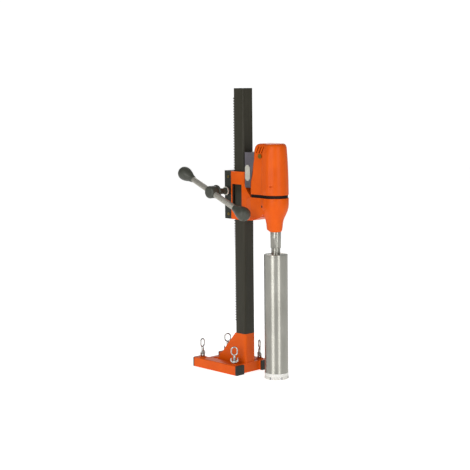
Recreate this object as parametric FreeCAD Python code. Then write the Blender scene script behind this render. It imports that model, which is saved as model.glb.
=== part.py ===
import FreeCAD, Part
import math
import os

# Core drill rig. Millimetres, +Z up, column axis on Z, drill and bit towards -Y, crank towards -X.
V = FreeCAD.Vector
os.makedirs("parts", exist_ok=True)

# Column and base frame
column_side = 50.0
column_wall = 4.0
column_radius = 7.5
column_top = 1012.0
cap_thick = 3.0
cap_depth = 14.0
base_width = 166.0
base_length = 228.0
front_reach = 38.0
rail_height = 35.0
rail_width = 40.0
rail_wall = 3.0
rail_radius = 3.0
plug_thick = 5.0
plug_depth = 16.0
plate_thick = 10.0
plate_top = 24.0
slot_width = 18.0
slot_length = 98.0
rear_margin = 24.0
cross_thick = 10.0
cross_foot = 55.0
bracket_top = 140.0
bracket_wall = 4.0
gusset_reach = 93.0
gusset_foot = 10.0
spigot_wall = 5.0
spigot_rise = 90.0

# Rack and pinion
module = 3.0
pressure = math.radians(20.0)
pinion_teeth = 10
rack_width = 30.0
rack_thick = 11.0
rack_bottom_gap = 38.0
rack_top_gap = 26.0
mesh_play = 0.15
rack_screw_radius = 2.5
rack_screw_head = 4.6
rack_screw_count = 6

# Levelling screws
level_front = -8.0
level_rear = base_length - front_reach - 30.0
level_radius = 5.0
run_play = 0.05
pad_radius = 9.0
pad_thick = 3.6
pad_lift = 0.4
pad_seat = 2.4
insert_radius = 10.0
insert_flange = 13.0
insert_rise = 3.0
insert_foot = 6.0
wing_hub = 8.0
wing_height = 12.0
wing_span = 15.0
wing_rise = 22.0
wing_thick = 4.0
eye_wire = 2.5
eye_inner = 8.0
eye_straight = 8.0
eye_base = 66.0
eye_lift = 6.5

# Carriage
carriage_bottom = 551.0
carriage_top = 721.0
liner_thick = 3.0
carriage_wall = 5.0
front_wall = 9.0
liner_height = 30.0
crank_height = 651.0
cover_half = 31.0
cover_wall = 3.0
cover_rear = 75.0
cover_radius = 15.0
cover_corner = 7.0
ear_thick = 8.0
pinion_half = 12.0
shaft_radius = 8.0
bush_radius = 10.0
bush_flange = 12.5
cover_bolt_radius = 3.0
cover_bolt_y = 45.0
window_front = -22.0
window_bottom = 588.0
window_top = 676.0
plug_y = -132.0
plug_z = 606.0

# Crank
crank_angle = 22.6
bar_radius = 10.0
bar_offset = 111.0
hub_end = 127.0
hub_radius = 22.0
collar_radius = 24.0
collar_start = 86.0
collar_end = 92.0
sleeve_radius = 10.5
front_knob = 171.0
rear_knob = 151.0
knob_radius = 24.5
knob_neck = 12.0
knob_length = 47.0
ring_radius = 15.5
ring_bore = 11.5
ring_seat = 11.0
ring_thick = 4.0
boss_radius = 14.0

# Drill head
bit_reach = 156.4
motor_offset = 34.4
case_radius = 46.0
case_top = 635.0
plate_rise = 11.0
head_top = 823.0
arm_half = 33.0
head_half = 42.0
head_rear = 70.0
head_wall = 4.0
nose_bottom = 518.0
nose_shift = 10.0

# Gear train, two stages
fine_module = 0.6
fine_pinion = 17
fine_gear = 51
coarse_module = 1.0
coarse_pinion = 17
coarse_gear = 34
gear_play = 0.12

# Spindle and bit
spindle_radius = 18.5
spindle_bottom = 461.0
journal_radius = 12.0
adapter_radius = 16.0
bit_top = 439.0
barrel_radius = 41.4
barrel_wall = 2.5
barrel_lid = 6.0
crown_band = 22.0
crown_proud = 0.7
segment_count = 7
segment_height = 10.0
segment_thick = 4.0
segment_slot = 7.0


# Shape helpers
def box(x0, x1, y0, y1, z0, z1):
    return Part.makeBox(x1 - x0, y1 - y0, z1 - z0, V(x0, y0, z0))


def cyl(radius, start, end):
    a = V(*start)
    b = V(*end)
    return Part.makeCylinder(radius, (b - a).Length, a, b - a)


def upright(radius, x, y, z0, z1):
    return cyl(radius, (x, y, z0), (x, y, z1))


def wire(points):
    vectors = [V(*p) for p in points]
    return Part.makePolygon(vectors + [vectors[0]])


def prism(points, direction):
    return Part.Face(wire(points)).extrude(V(*direction))


def arc_points(cx, cy, radius, start, stop, steps):
    out = []
    for i in range(steps + 1):
        a = math.radians(start + (stop - start) * i / steps)
        out.append((cx + radius * math.cos(a), cy + radius * math.sin(a)))
    return out


def rounded(x0, x1, y0, y1, radii, z):
    corners = (
        (x1 - radii[0], y0 + radii[0], radii[0], -90),
        (x1 - radii[1], y1 - radii[1], radii[1], 0),
        (x0 + radii[2], y1 - radii[2], radii[2], 90),
        (x0 + radii[3], y0 + radii[3], radii[3], 180),
    )
    arcs = []
    ends = []
    for cx, cy, r, start in corners:
        mid = math.radians(start + 45)
        a = V(cx + r * math.cos(math.radians(start)), cy + r * math.sin(math.radians(start)), z)
        m = V(cx + r * math.cos(mid), cy + r * math.sin(mid), z)
        b = V(cx + r * math.cos(math.radians(start + 90)), cy + r * math.sin(math.radians(start + 90)), z)
        arcs.append(Part.Arc(a, m, b).toShape())
        ends.append((a, b))
    edges = []
    for i in range(4):
        edges.append(arcs[i])
        a = ends[i][1]
        b = ends[(i + 1) % 4][0]
        if (b - a).Length > 1e-6:
            edges.append(Part.makeLine(a, b))
    return Part.Wire(edges)


def rounded_block(x0, x1, y0, y1, radii, z0, z1):
    return Part.Face(rounded(x0, x1, y0, y1, radii, z0)).extrude(V(0, 0, z1 - z0))


def square_block(side, radius, z0, z1):
    h = side / 2
    return rounded_block(-h, h, -h, h, (radius,) * 4, z0, z1)


def lie_along_y(shape):
    shape.rotate(V(0, 0, 0), V(1, 0, 0), -90)
    return shape


def turned(shape, x, y, degrees):
    out = shape.copy()
    out.rotate(V(x, y, 0), V(0, 0, 1), degrees)
    return out


def moved(shape, x, y, z):
    out = shape.copy()
    out.translate(V(x, y, z))
    return out


def revolve_z(profile, x, y):
    pts = [(r, 0, z) for r, z in profile]
    body = Part.Face(wire(pts)).revolve(V(0, 0, 0), V(0, 0, 1), 360)
    return moved(body, x, y, 0)


def fused(shapes):
    out = shapes[0]
    for shape in shapes[1:]:
        out = out.fuse(shape)
    return out.removeSplitter()


def save(name, shapes):
    if not isinstance(shapes, (list, tuple)):
        shapes = [shapes]
    solids = []
    for shape in shapes:
        solids.extend(shape.Solids)
    if len(solids) == 1:
        solids[0].exportStep("parts/" + name + ".step")
    else:
        Part.makeCompound(solids).exportStep("parts/" + name + ".step")


# Derived positions
half = column_side / 2
rail_out = base_width / 2
rail_in = rail_out - rail_width
rail_mid = rail_out - rail_width / 2
rear_end = base_length - front_reach
plate_end = rear_end - plug_thick - 3.0
pinion_radius = module * pinion_teeth / 2
rack_tip = half + rack_thick
pitch_line = rack_tip - module
pinion_y = pitch_line + pinion_radius
tooth_pitch = math.pi * module
S = (0.0, -bit_reach)
A = (0.0, -bit_reach + motor_offset)
fine_distance = fine_module * (fine_pinion + fine_gear) / 2
coarse_distance = coarse_module * (coarse_pinion + coarse_gear) / 2
lay_back = (motor_offset ** 2 + fine_distance ** 2 - coarse_distance ** 2) / (2 * motor_offset)
lay_side = math.sqrt(fine_distance ** 2 - lay_back ** 2)
L = (lay_side, A[1] - lay_back)
plate_bottom = plate_top - plate_thick

# Base frame: plate with anchor slot, front cross plate, two rails, folded column bracket
slot_front = rear_end - rear_margin - slot_length
slot_rear = rear_end - rear_margin
slot_half = slot_width / 2
plate = box(-rail_in, rail_in, -half + cross_thick, plate_end, plate_bottom, plate_top)
slot = rounded_block(-slot_half, slot_half, slot_front, slot_rear, (slot_half - 0.01,) * 4,
                     plate_bottom - 1, plate_top + 1)
save("base_plate", plate.cut(slot))
cross = box(-rail_in, rail_in, -half, -half + cross_thick, 0, rail_height)
cross = cross.fuse(box(-rail_in, rail_in, -half, -half + cross_foot, 0, plate_bottom))
save("front_cross_plate", cross.removeSplitter())

rail = rounded_block(-rail_width / 2, rail_width / 2, -rail_height, 0, (rail_radius,) * 4,
                     -front_reach + plug_thick, rear_end - plug_thick)
hollow_x = rail_width / 2 - rail_wall
rail = rail.cut(rounded_block(-hollow_x, hollow_x, -rail_height + rail_wall, -rail_wall,
                              (rail_radius / 2,) * 4, -front_reach, rear_end))
rail = lie_along_y(rail)
for y in (level_front, level_rear):
    rail = rail.cut(upright(insert_radius, 0, y, rail_height - rail_wall - 1, rail_height + 1))
    rail = rail.cut(upright(pad_radius + run_play, 0, y, -1, rail_wall + 1))
save("left_rail", moved(rail, -rail_mid, 0, 0))
save("right_rail", moved(rail, rail_mid, 0, 0))

plugs = []
for sign in (-1, 1):
    for y0, y1, d0, d1 in (
        (-front_reach, -front_reach + plug_thick, -front_reach + plug_thick, -front_reach + plug_depth),
        (rear_end - plug_thick, rear_end, rear_end - plug_depth, rear_end - plug_thick),
    ):
        flange = lie_along_y(rounded_block(-rail_width / 2, rail_width / 2, -rail_height, 0,
                                           (rail_radius,) * 4, y0, y1))
        tongue = lie_along_y(rounded_block(-hollow_x, hollow_x, -rail_height + rail_wall, -rail_wall,
                                           (rail_radius / 2,) * 4, d0, d1))
        plugs.append(moved(flange.fuse(tongue), sign * rail_mid, 0, 0))
save("rail_plugs", plugs)

bracket_rear = half + gusset_reach
bracket = rounded_block(-half, half, -half, bracket_rear, (column_radius, 0.01, 0.01, column_radius),
                        plate_top, bracket_top)
bracket_in = half - bracket_wall
bracket = bracket.cut(rounded_block(-bracket_in, bracket_in, -bracket_in, bracket_rear + 1,
                                    (column_radius - bracket_wall, 0.01, 0.01, column_radius - bracket_wall),
                                    plate_top - 1, bracket_top + 1))
slope = [(-half - 1, half, bracket_top), (-half - 1, bracket_rear, plate_top + gusset_foot),
         (-half - 1, bracket_rear + 5, plate_top + gusset_foot), (-half - 1, bracket_rear + 5, bracket_top + 5),
         (-half - 1, half, bracket_top + 5)]
bracket = bracket.cut(prism(slope, (column_side + 2, 0, 0)))
bracket = bracket.cut(box(-half - 1, half + 1, -half - 1, -half + cross_thick, plate_top - 1, rail_height))
save("column_bracket", bracket)

column_in = column_side - 2 * column_wall
spigot = square_block(column_in, column_radius - column_wall, plate_top, bracket_top + spigot_rise)
spigot_in = column_in - 2 * spigot_wall
spigot = spigot.cut(square_block(spigot_in, 1.0, plate_top - 1, bracket_top + spigot_rise + 1))
spigot = spigot.cut(box(-half, half, -half, -half + cross_thick, plate_top - 1, rail_height))
save("column_spigot", spigot)

# Column with rack
column = square_block(column_side, column_radius, bracket_top, column_top - cap_thick)
column = column.cut(square_block(column_in, column_radius - column_wall, bracket_top - 1, column_top))
cap = square_block(column_side, column_radius, column_top - cap_thick, column_top)
cap = cap.fuse(square_block(column_in, column_radius - column_wall, column_top - cap_thick - cap_depth,
                            column_top - cap_thick))
cap = cap.cut(square_block(column_in - 6, 1.5, column_top - cap_thick - cap_depth - 1, column_top - cap_thick))
save("column_cap", cap)

teeth_down = int((crank_height - bracket_top - rack_bottom_gap) / tooth_pitch)
teeth_up = int((column_top - rack_top_gap - crank_height) / tooth_pitch)
rack_bottom = crank_height - teeth_down * tooth_pitch
rack_top = crank_height + teeth_up * tooth_pitch
root_y = rack_tip - 2.25 * module
tip_half = tooth_pitch / 4 - module * math.tan(pressure) - mesh_play / 2
root_half = tooth_pitch / 4 + 1.25 * module * math.tan(pressure) - mesh_play / 2
outline = [(-rack_width / 2, half, rack_bottom), (-rack_width / 2, root_y, rack_bottom)]
for k in range(-teeth_down, teeth_up):
    z = crank_height + (k + 0.5) * tooth_pitch
    outline.append((-rack_width / 2, root_y, z - root_half))
    outline.append((-rack_width / 2, rack_tip, z - tip_half))
    outline.append((-rack_width / 2, rack_tip, z + tip_half))
    outline.append((-rack_width / 2, root_y, z + root_half))
outline.append((-rack_width / 2, root_y, rack_top))
outline.append((-rack_width / 2, half, rack_top))
rack = prism(outline, (rack_width, 0, 0))
screws = []
seat_y = root_y - 2.6
for i in range(rack_screw_count):
    z = rack_bottom + (rack_top - rack_bottom) * (i + 0.5) / rack_screw_count
    rack = rack.cut(cyl(rack_screw_head, (0, seat_y, z), (0, rack_tip + 1, z)))
    rack = rack.cut(cyl(rack_screw_radius, (0, half - 1, z), (0, rack_tip + 1, z)))
    column = column.cut(cyl(rack_screw_radius, (0, half - column_wall - 1, z), (0, half + 1, z)))
    screw = cyl(rack_screw_radius, (0, half - column_wall, z), (0, seat_y, z))
    head = cyl(rack_screw_head, (0, seat_y, z), (0, root_y, z))
    head = head.cut(cyl(rack_screw_head / 2.3, (0, root_y - 1.6, z), (0, root_y + 1, z)))
    screws.append(screw.fuse(head))
save("gear_rack", rack)
save("rack_screws", screws)
save("column_tube", column)

# Levelling screws: insert, foot pad, eye screw and wing nut in each rail end
inserts = []
corners = (("front_left", -1, level_front, 136.4, 136.4, 0.0),
           ("rear_left", -1, level_rear, 10.0, 10.0, eye_lift),
           ("front_right", 1, level_front, 62.0, 75.0, eye_lift),
           ("rear_right", 1, level_rear, 136.4, 136.4, eye_lift))
for name, sign, y, eye_turn, nut_turn, lift in corners:
    x = sign * rail_mid
    bore = level_radius + run_play
    insert = upright(insert_radius, x, y, insert_foot, rail_height)
    insert = insert.fuse(upright(insert_flange, x, y, rail_height, rail_height + insert_rise))
    insert = insert.cut(upright(bore, x, y, insert_foot - 1, rail_height + insert_rise + 1))
    inserts.append(insert)

    pad = upright(pad_radius, x, y, pad_lift, pad_lift + pad_thick)
    pad_hole = pad_lift + pad_thick - pad_seat
    pad = pad.cut(upright(3.0 + run_play, x, y, pad_hole, pad_lift + pad_thick + 1))
    save("foot_pad_" + name, pad)

    stem = upright(3.0, x, y, pad_hole, pad_lift + pad_thick + 0.2)
    stem = stem.fuse(upright(level_radius, x, y, pad_lift + pad_thick + 0.2, eye_base + lift + eye_wire))
    ring = eye_inner + eye_wire
    low = eye_base + lift + ring + eye_wire
    high = low + eye_straight
    loop = []
    for z, start in ((low, 90), (high, -90)):
        torus = Part.makeTorus(ring, eye_wire, V(0, 0, z), V(0, 1, 0))
        keep = box(-40, 40, -20, 20, z - 40, z) if z == low else box(-40, 40, -20, 20, z, z + 40)
        loop.append(torus.common(keep))
    for side in (-ring, ring):
        loop.append(upright(eye_wire, side, 0, low, high))
    eye = loop[0]
    for piece in loop[1:]:
        eye = eye.fuse(piece)
    eye = moved(turned(eye, 0, 0, eye_turn), x, y, 0)
    save("eye_screw_" + name, stem.fuse(eye).removeSplitter())

    nut_bottom = rail_height + insert_rise
    nut = upright(wing_hub, 0, 0, nut_bottom, nut_bottom + wing_height)
    for side in (-1, 1):
        wing = [(side * 5.0, -wing_thick / 2, nut_bottom + 2), (side * 9.0, -wing_thick / 2, nut_bottom + 2),
                (side * wing_span, -wing_thick / 2, nut_bottom + 12),
                (side * wing_span, -wing_thick / 2, nut_bottom + wing_rise - 3),
                (side * (wing_span - 3), -wing_thick / 2, nut_bottom + wing_rise),
                (side * (wing_span - 6), -wing_thick / 2, nut_bottom + wing_rise - 2),
                (side * 7.0, -wing_thick / 2, nut_bottom + 10), (side * 5.0, -wing_thick / 2, nut_bottom + 9)]
        nut = nut.fuse(prism(wing, (0, wing_thick, 0)))
    nut = nut.cut(upright(bore, 0, 0, nut_bottom - 1, nut_bottom + wing_rise + 1)).removeSplitter()
    save("wing_nut_" + name, moved(turned(nut, 0, 0, nut_turn), x, y, 0))
save("levelling_inserts", inserts)


# Carriage casting: guide box, ears, arm and gear case in one piece
cavity_half = half + liner_thick
box_half = cavity_half + carriage_wall
box_front = -(cavity_half + front_wall)
box_rear = cavity_half + carriage_wall
casting = rounded_block(-box_half, box_half, box_front, box_rear, (3.0, 3.0, 3.0, 3.0),
                        carriage_bottom, carriage_top)
ear_out = cover_half - cover_wall
ear_end = 60.0
for sign in (-1, 1):
    x0 = ear_out - ear_thick if sign > 0 else -ear_out
    casting = casting.fuse(box(x0, x0 + ear_thick, box_rear - 1, ear_end,
                               carriage_bottom + 8, carriage_top - 8))

arm_low = carriage_bottom + 8.0
arm_drop = [(-arm_half, box_front + 3, carriage_bottom), (-arm_half, box_front - 38, carriage_bottom + 2),
            (-arm_half, A[1] + 18, arm_low + 3), (-arm_half, A[1], case_top - 66)]
arm_rise = [(-arm_half, A[1], case_top), (-arm_half, -head_rear + 3, case_top)]
curve = [(31.0, 8.0), (23.0, 15.0), (14.0, 25.0), (7.0, 37.0), (2.5, 49.0), (0.0, 61.0)]
for dy, dz in curve:
    arm_rise.append((-arm_half, box_front - dy + 2.0, case_top + dz - 4.0))
arm_rise.append((-arm_half, box_front + 3, case_top + 59.0))
arm = prism(arm_drop + arm_rise, (2 * arm_half, 0, 0))

# Cheeks widen the arm so that it runs flush into the gear case
cheek_front = S[1] - 0.6
cheek_side = [(-head_half, box_front - 8, carriage_bottom + 4), (-head_half, -100.0, 566.0),
              (-head_half, A[1], 571.0), (-head_half, -138.0, 580.0), (-head_half, -150.0, 594.0),
              (-head_half, cheek_front, 612.0), (-head_half, cheek_front, case_top),
              (-head_half, -head_rear, case_top), (-head_half, box_front - 8, case_top - 12)]
cheek_plan = [(-arm_half, box_front - 8, 540.0), (-head_half, -head_rear - 6, 540.0),
              (-head_half, cheek_front, 540.0), (head_half, cheek_front, 540.0),
              (head_half, -head_rear - 6, 540.0), (arm_half, box_front - 8, 540.0)]
cheeks = prism(cheek_side, (2 * head_half, 0, 0)).common(prism(cheek_plan, (0, 0, case_top - 540.0)))

bowl = ((46.0, case_top), (46.0, 612.0), (45.0, 602.0), (42.0, 590.0), (37.0, 578.0), (32.0, 568.0),
        (28.0, 558.0), (25.5, 546.0), (24.3, 533.0), (22.8, 524.0), (20.3, nose_bottom))


def stadium(radius, z, shift):
    y0 = S[1]
    y1 = S[1] + shift
    a = V(radius, y0, z)
    b = V(radius, y1, z)
    c = V(-radius, y1, z)
    d = V(-radius, y0, z)
    front = Part.Arc(d, V(0, y0 - radius, z), a).toShape()
    rear = Part.Arc(b, V(0, y1 + radius, z), c).toShape()
    return Part.Wire([front, Part.makeLine(a, b), rear, Part.makeLine(c, d)])


radius_scale = case_radius / 46.0
rings = []
for index, (r, z) in enumerate(bowl):
    shift = nose_shift if index < len(bowl) - 1 else 0.8 * nose_shift * 0.2
    rings.append(stadium(r * radius_scale, z, shift))
rings.reverse()
case = Part.makeLoft(rings, True, True)
casting = casting.fuse(arm).fuse(case).fuse(cheeks)
rear_case = rounded_block(-head_half, head_half, S[1], -head_rear, (0.01, 14.0, 14.0, 0.01),
                          case_top - 14, case_top)
casting = casting.fuse(rear_case)

casting = casting.cut(square_block(2 * cavity_half, column_radius + liner_thick,
                                   carriage_bottom - 1, carriage_top + 1))
rack_gap = rack_width / 2 + 2.0
casting = casting.cut(box(-rack_gap, rack_gap, half - 6, box_rear + 1, carriage_bottom - 1, carriage_top + 1))
window_rear = cavity_half - 3.0
casting = casting.cut(box(-box_half - 1, box_half + 1, window_front, window_rear, window_bottom, window_top))
casting = casting.cut(cyl(bush_radius, (-ear_out - 1, pinion_y, crank_height),
                          (ear_out + 1, pinion_y, crank_height)))
bolt_levels = (carriage_bottom + 17.0, carriage_top - 20.0)
casting = casting.cut(cyl(boss_radius + 2, (-box_half - 1, pinion_y, crank_height),
                          (-cover_half, pinion_y, crank_height)))
casting = casting.cut(cyl(4.0, (-head_half - 1, plug_y, plug_z), (-head_half + 4, plug_y, plug_z)))
for z in bolt_levels:
    casting = casting.cut(cyl(cover_bolt_radius, (-ear_out - 1, cover_bolt_y, z),
                              (ear_out + 1, cover_bolt_y, z)))

# Gear case cavities
floor_z = 588.0
gear_low = floor_z + 2.0
gear_face = 12.0
fine_low = gear_low + gear_face + 4.0
fine_face = 8.0
plate_under = case_top - 12.0
cavity_r = case_radius - 5.0
gear_cavity = upright(cavity_r - 7.0, S[0], S[1], floor_z, case_top + 1)
gear_cavity = gear_cavity.fuse(upright(cavity_r, S[0], S[1], fine_low - 2, case_top + 1))
gear_cavity = gear_cavity.fuse(upright(14.0, A[0], A[1], fine_low - 2, case_top + 1))
gear_cavity = gear_cavity.fuse(upright(coarse_module * (coarse_pinion + 4) / 2, L[0], L[1],
                                       floor_z, case_top + 1))
gear_cavity = gear_cavity.fuse(upright(fine_module * (fine_gear + 4) / 2, L[0], L[1],
                                       fine_low - 2, case_top + 1))
casting = casting.cut(gear_cavity)
lower_bearing = 19.5
upper_bearing = 17.5
lower_z0 = nose_bottom + 10.0
lower_z1 = lower_z0 + 14.0
upper_z0 = floor_z - 15.0
casting = casting.cut(upright(lower_bearing, S[0], S[1], lower_z0, lower_z1))
casting = casting.cut(upright(upper_bearing, S[0], S[1], upper_z0, floor_z + 1))
casting = casting.cut(upright(journal_radius + 3, S[0], S[1], nose_bottom - 1, floor_z))
lay_bearing = 8.0
lay_bearing_face = 6.0
casting = casting.cut(upright(lay_bearing, L[0], L[1], floor_z - lay_bearing_face - 1, floor_z + 1))
screw_spots = ((-35.0, -head_rear - 9.0), (35.0, -head_rear - 9.0),
               (-37.5, S[1] - 18.0), (37.5, S[1] - 18.0))
motor_screw = 2.5
screw_head = 4.5
for x, y in screw_spots:
    casting = casting.cut(upright(motor_screw, x, y, case_top - 14, case_top + 1))
save("carriage_casting", casting.removeSplitter())

# Rear cover, bolts, guide liners, bushes and flange ring
cover = rounded_block(-cover_half, cover_half, box_rear, cover_rear, (0.01, cover_radius, cover_radius, 0.01),
                      carriage_bottom, carriage_top + 1)
inner_radius = cover_radius - cover_wall
cover = cover.cut(rounded_block(-ear_out, ear_out, box_rear - 1, cover_rear - cover_wall,
                                (0.01, inner_radius, inner_radius, 0.01),
                                carriage_bottom + cover_wall, carriage_top + 1 - cover_wall))
cover = cover.cut(box(-rack_gap, rack_gap, box_rear - 1, rack_tip + 2, carriage_bottom - 1, carriage_top + 2))
profile_yz = rounded_block(-1 - carriage_top, -carriage_bottom, box_rear - 1, cover_rear,
                           (0.01, cover_corner, cover_corner, 0.01), -cover_half - 1, cover_half + 1)
profile_yz.rotate(V(0, 0, 0), V(0, 1, 0), 90)
cover = cover.common(profile_yz)
cover = cover.fuse(cyl(boss_radius, (-cover_half - ring_seat, pinion_y, crank_height),
                       (-cover_half + 1, pinion_y, crank_height)))
cover = cover.cut(cyl(sleeve_radius + 1, (-cover_half - 20, pinion_y, crank_height),
                      (-ear_out + 1, pinion_y, crank_height)))
bolts = []
for z in bolt_levels:
    for sign in (-1, 1):
        cover = cover.cut(cyl(cover_bolt_radius, (sign * (ear_out - 1), cover_bolt_y, z),
                              (sign * (cover_half + 1), cover_bolt_y, z)))
        shank = cyl(cover_bolt_radius, (sign * (ear_out - ear_thick), cover_bolt_y, z),
                    (sign * cover_half, cover_bolt_y, z))
        head = cyl(5.0, (sign * cover_half, cover_bolt_y, z), (sign * (cover_half + 3.5), cover_bolt_y, z))
        socket = cyl(2.6, (sign * (cover_half + 1.2), cover_bolt_y, z),
                     (sign * (cover_half + 5), cover_bolt_y, z))
        bolts.append(shank.fuse(head.cut(socket)))
save("rear_cover", cover.removeSplitter())
save("cover_bolts", bolts)

liners = []
for z0 in (carriage_bottom + 4.0, carriage_top - 4.0 - liner_height):
    liner = square_block(2 * cavity_half, column_radius + liner_thick + 0.4, z0, z0 + liner_height)
    liner = liner.cut(square_block(column_side + 2 * run_play, column_radius + run_play,
                                   z0 - 1, z0 + liner_height + 1))
    liner = liner.cut(box(-rack_gap, rack_gap, half - 8, cavity_half + 1, z0 - 1, z0 + liner_height + 1))
    liners.append(liner)
save("guide_liners", liners)

bushes = []
for sign in (-1, 1):
    barrel = cyl(bush_radius, (sign * (ear_out - ear_thick), pinion_y, crank_height),
                 (sign * ear_out, pinion_y, crank_height))
    flange = cyl(bush_flange, (sign * (ear_out - ear_thick - 2), pinion_y, crank_height),
                 (sign * (ear_out - ear_thick), pinion_y, crank_height))
    bush = barrel.fuse(flange).cut(cyl(shaft_radius + run_play, (-40, pinion_y, crank_height),
                                       (40, pinion_y, crank_height)))
    bushes.append(bush)
save("pinion_bushes", bushes)
ring_x = -cover_half - ring_seat
ring = cyl(ring_radius, (ring_x - ring_thick, pinion_y, crank_height), (ring_x, pinion_y, crank_height))
ring = ring.cut(cyl(ring_bore, (ring_x - 9, pinion_y, crank_height), (ring_x + 1, pinion_y, crank_height)))
save("crank_ring", ring)

# Crank: pinion shaft, hub, bar and two knobs
samples = 36
tip_radius = pinion_radius + module
steps = 81
flank = math.tan(pressure)
gap_clear = 0.12
profile = []
for i in range(samples * pinion_teeth):
    theta = 2 * math.pi * i / (samples * pinion_teeth)
    reach = tip_radius
    local = (theta + math.pi / pinion_teeth) % (2 * math.pi / pinion_teeth) - math.pi / pinion_teeth
    for j in range(steps):
        phi = math.radians(-50.0 + 100.0 * j / (steps - 1))
        beam = local + phi
        if abs(beam) > math.radians(75.0):
            continue
        shift = pinion_radius * phi
        slope_z = math.tan(beam)
        for k in (-2, -1, 0, 1):
            zc = (k + 0.5) * tooth_pitch + shift
            top_d = pinion_radius - module - gap_clear
            low = zc - tip_half - gap_clear
            high = zc + tip_half + gap_clear
            z_top = top_d * slope_z
            if low <= z_top <= high:
                reach = min(reach, top_d / math.cos(beam))
                continue
            for edge, way in ((low, -1), (high, 1)):
                # flank line: z = edge + way * flank * (d - top_d)
                den = slope_z - way * flank
                if abs(den) < 1e-9:
                    continue
                d = (edge - way * flank * top_d) / den
                if top_d < d < tip_radius * 1.2:
                    reach = min(reach, d / math.cos(beam))
    profile.append((theta, reach))
points = []
for theta, reach in profile:
    points.append((-pinion_half, pinion_y - reach * math.cos(theta), crank_height + reach * math.sin(theta)))
gear = prism(points, (2 * pinion_half, 0, 0))
shaft_end = bar_offset - bar_radius - 1.0
shaft = cyl(shaft_radius, (-shaft_end, pinion_y, crank_height), (ear_out - 0.5, pinion_y, crank_height))
save("pinion_shaft", gear.fuse(shaft))

hub = cyl(sleeve_radius, (-cover_half + 1.5, pinion_y, crank_height), (-collar_start, pinion_y, crank_height))
hub = hub.fuse(cyl(collar_radius, (-collar_start, pinion_y, crank_height),
                   (-collar_end, pinion_y, crank_height)))
knuckle = cyl(hub_radius, (-collar_end, pinion_y, crank_height), (-hub_end, pinion_y, crank_height))
outer_edges = [e for e in knuckle.Edges if abs(e.BoundBox.XMin + hub_end) < 0.1 and e.BoundBox.XLength < 0.1]
knuckle = knuckle.makeFillet(4.0, outer_edges)
hub = hub.fuse(knuckle)
hub = hub.cut(cyl(shaft_radius, (-shaft_end, pinion_y, crank_height), (0, pinion_y, crank_height)))
angle = math.radians(crank_angle)
direction = (0.0, math.cos(angle), math.sin(angle))


def on_bar(distance):
    return (-bar_offset, pinion_y + distance * direction[1], crank_height + distance * direction[2])


tail = 4.0
hub = hub.cut(cyl(bar_radius, on_bar(-60.0), on_bar(60.0)))
save("crank_hub", hub.removeSplitter())
save("crank_bar", cyl(bar_radius, on_bar(-front_knob - tail), on_bar(rear_knob + tail)))
knobs = []
for sign, knob_centre in ((-1, front_knob), (1, rear_knob)):
    shell = []
    for i in range(13):
        a = math.radians(90.0 * i / 12)
        shell.append((knob_radius * math.sin(a), knob_centre + knob_radius * math.cos(a)))
    shell[0] = (0.0, knob_centre + knob_radius)
    blend = ((0.97, 0.2), (0.88, 0.42), (0.74, 0.63), (0.60, 0.80))
    for share, along in blend:
        shell.append((knob_radius * share, knob_centre - knob_length * along))
    shell.append((knob_neck, knob_centre - knob_length))
    shell.append((0.0, knob_centre - knob_length))
    pts = [(r, 0, d) for r, d in shell]
    egg = Part.Face(wire(pts)).revolve(V(0, 0, 0), V(0, 0, 1), 360)
    egg = egg.cut(cyl(bar_radius, (0, 0, 0), (0, 0, knob_centre + tail)))
    egg.rotate(V(0, 0, 0), V(1, 0, 0), -90 if sign > 0 else 90)
    egg.rotate(V(0, 0, 0), V(1, 0, 0), crank_angle)
    knobs.append(moved(egg, -bar_offset, pinion_y, crank_height))
save("crank_knobs", knobs)


# Spur gears
def spur(mod, teeth, z0, z1, x, y, phase, bore):
    pitch_r = mod * teeth / 2
    base_r = pitch_r * math.cos(pressure)
    outer_r = pitch_r + mod * 0.95
    root_r = pitch_r - 1.25 * mod
    inv = math.tan(pressure) - pressure
    half_tooth = math.pi / (2 * teeth) - gear_play / (2 * pitch_r)
    pts = []
    for k in range(teeth):
        centre = phase + 2 * math.pi * k / teeth
        side = []
        start_r = max(base_r, root_r + 0.02)
        for i in range(6):
            r = start_r + (outer_r - start_r) * i / 5
            ratio = min(1.0, base_r / r)
            alpha = math.acos(ratio)
            side.append((r, half_tooth + inv - (math.tan(alpha) - alpha)))
        foot = side[0][1]
        pts.append((root_r, centre - min(foot, math.pi / teeth * 0.9)))
        for r, a in side:
            pts.append((r, centre - a))
        for r, a in reversed(side):
            pts.append((r, centre + a))
        pts.append((root_r, centre + min(foot, math.pi / teeth * 0.9)))
    outline_pts = [(x + r * math.cos(a), y + r * math.sin(a), z0) for r, a in pts]
    wheel = prism(outline_pts, (0, 0, z1 - z0))
    if bore:
        wheel = wheel.cut(upright(bore, x, y, z0 - 1, z1 + 1))
    return wheel


# A tooth of the driver points at the driven gear, whose space faces it
to_lay = math.atan2(L[1] - A[1], L[0] - A[0])
to_arm = to_lay + math.pi
to_spindle = math.atan2(S[1] - L[1], S[0] - L[0])
to_back = to_spindle + math.pi

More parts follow.
